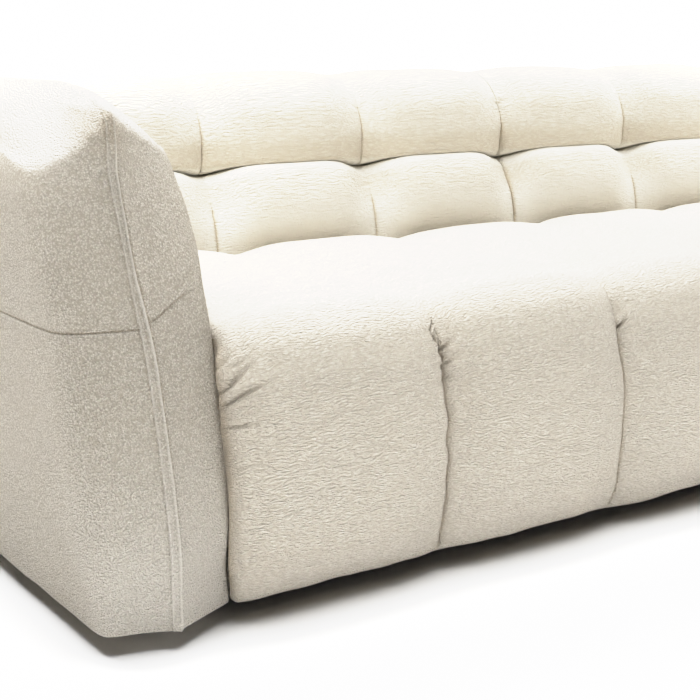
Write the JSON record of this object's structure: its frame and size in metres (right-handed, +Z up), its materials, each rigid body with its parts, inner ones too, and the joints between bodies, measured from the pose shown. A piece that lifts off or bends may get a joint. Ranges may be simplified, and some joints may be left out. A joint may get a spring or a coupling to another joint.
{
  "type": "tuxedo sofa",
  "caption": "Low upholstered sofa in two bolted modules, with a channelled seat, a two-row channelled back and plump boxed arms as high as the back, for several people to sit on.",
  "frame": {"origin": "on the floor, under the middle of the sofa's width and depth", "axes": "+X along the width, to the right of a viewer facing the sofa; the front faces -Y; +Z up"},
  "size_m": [2.68, 1.02, 0.76],
  "materials": {
    "boucle_seat": "matte, slubby boucle weave",
    "boucle_back": "matte, slubby boucle weave",
    "boucle_arm": "matte, fine nubby boucle weave",
    "boucle_outside": "matte, fine nubby boucle weave",
    "timber": "sawn, unfinished",
    "fibreboard": "pressed board, unfinished",
    "spring_steel": "drawn wire",
    "zinc_steel": "zinc plated",
    "elastic_webbing": "woven elastic belt",
    "felt": "pressed felt",
    "foam": "open-cell foam",
    "dust_cloth": "non-woven cloth",
    "lining": "plain lining cloth",
    "twine": "waxed twine",
    "foot_plastic": "moulded"
  },
  "bodies": {
    "root": {"front_rail_left": "timber", "front_rail_right": "timber", "rear_sill_left": "timber", "rear_sill_right": "timber", "side_rails": "timber", "spring_rails": "timber", "cross_braces": "timber", "foot_blocks": "timber", "back_posts_left": "timber", "back_posts_right": "timber", "back_top_rail_left": "timber", "back_top_rail_right": "timber", "arm_frame_left": "timber", "arm_frame_right": "timber", "arm_panels": "fibreboard", "front_boards": "fibreboard", "back_boards": "fibreboard", "seat_springs_left": "spring_steel", "seat_springs_right": "spring_steel", "spring_clips": "zinc_steel", "spring_tie_wires": "spring_steel", "back_webbing_left": "elastic_webbing", "back_webbing_right": "elastic_webbing", "spring_felt": "felt", "seat_foam_left": "foam", "seat_foam_right": "foam", "back_foam_left": "foam", "back_foam_right": "foam", "seat_pad_1": "boucle_seat", "seat_pad_2": "boucle_seat", "seat_pad_3": "boucle_seat", "seat_pad_4": "boucle_seat", "seat_pad_5": "boucle_seat", "seat_pad_6": "boucle_seat", "lower_back_pad_1": "boucle_back", "lower_back_pad_2": "boucle_back", "lower_back_pad_3": "boucle_back", "lower_back_pad_4": "boucle_back", "lower_back_pad_5": "boucle_back", "lower_back_pad_6": "boucle_back", "upper_back_pad_1": "boucle_back", "upper_back_pad_2": "boucle_back", "upper_back_pad_3": "boucle_back", "upper_back_pad_4": "boucle_back", "upper_back_pad_5": "boucle_back", "upper_back_pad_6": "boucle_back", "arm_cushion_left": "boucle_arm", "arm_cushion_right": "boucle_arm", "outside_back_left": "boucle_outside", "outside_back_right": "boucle_outside", "dust_cover_left": "dust_cloth", "dust_cover_right": "dust_cloth", "joint_linings": "lining", "tuft_ties": "twine", "feet": "foot_plastic", "foot_screws": "zinc_steel", "joining_bolts": "zinc_steel", "joining_nuts": "zinc_steel"}
  },
  "joints": []
}
